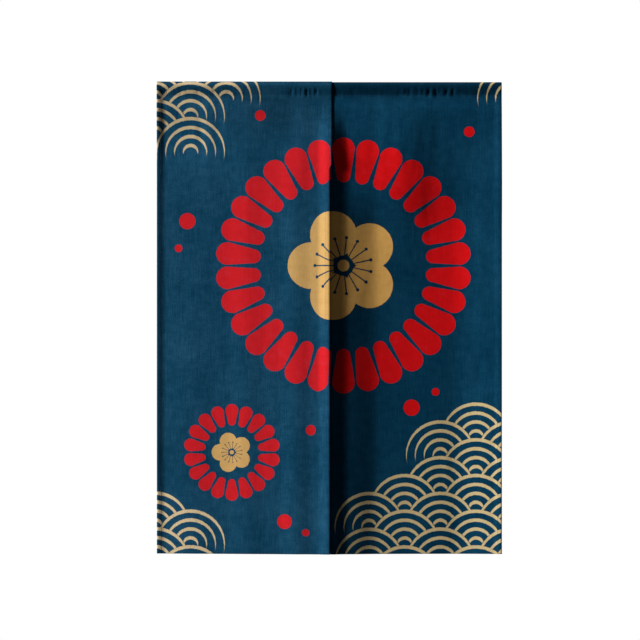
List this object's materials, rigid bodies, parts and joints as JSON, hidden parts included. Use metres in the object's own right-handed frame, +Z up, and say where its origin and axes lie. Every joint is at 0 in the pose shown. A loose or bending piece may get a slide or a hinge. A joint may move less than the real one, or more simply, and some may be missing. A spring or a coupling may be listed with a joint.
{
  "type": "noren curtain",
  "caption": "Split doorway curtain of dyed cloth: lapped panels sewn together near the top, open below, hung by a shared rod pocket along the top edge.",
  "frame": {"origin": "the middle of the top edge, on the top of the rod pocket", "axes": "+X along the top edge to the viewer's right, +Y from the front of the cloth to its back, +Z up"},
  "size_m": [0.8501, 0.0429, 1.165],
  "materials": {
    "dyed_cloth": "matt woven cloth with uneven yarns, dyed deep blue, with a red and gold print"
  },
  "bodies": {
    "root": {"left_panel": "dyed_cloth", "right_panel": "dyed_cloth"}
  },
  "joints": []
}
